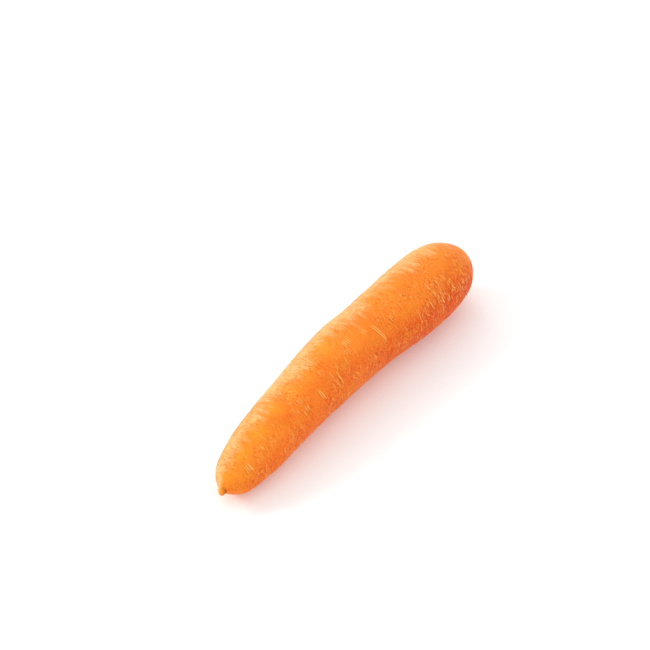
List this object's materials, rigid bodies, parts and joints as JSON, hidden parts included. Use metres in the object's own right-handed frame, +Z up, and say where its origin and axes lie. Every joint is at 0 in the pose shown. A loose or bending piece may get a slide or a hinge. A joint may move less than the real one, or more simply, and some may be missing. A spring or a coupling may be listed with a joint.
{
  "type": "carrot",
  "caption": "Fresh carrot root lying on its side: blunt tail with a thin stub, slowly tapering bowed body with cross creases, rounded shoulder and a trimmed crown.",
  "frame": {"origin": "under the middle of the root's box, on the surface that it lies on", "axes": "+X along the root from the tail to the crown, +Y to the side that it bows towards, +Z up"},
  "size_m": [0.18, 0.0358, 0.0349],
  "materials": {
    "skin": "satin, slightly moist root skin, orange with paler cross strokes"
  },
  "bodies": {
    "root": {"carrot_root": "skin"}
  },
  "joints": []
}
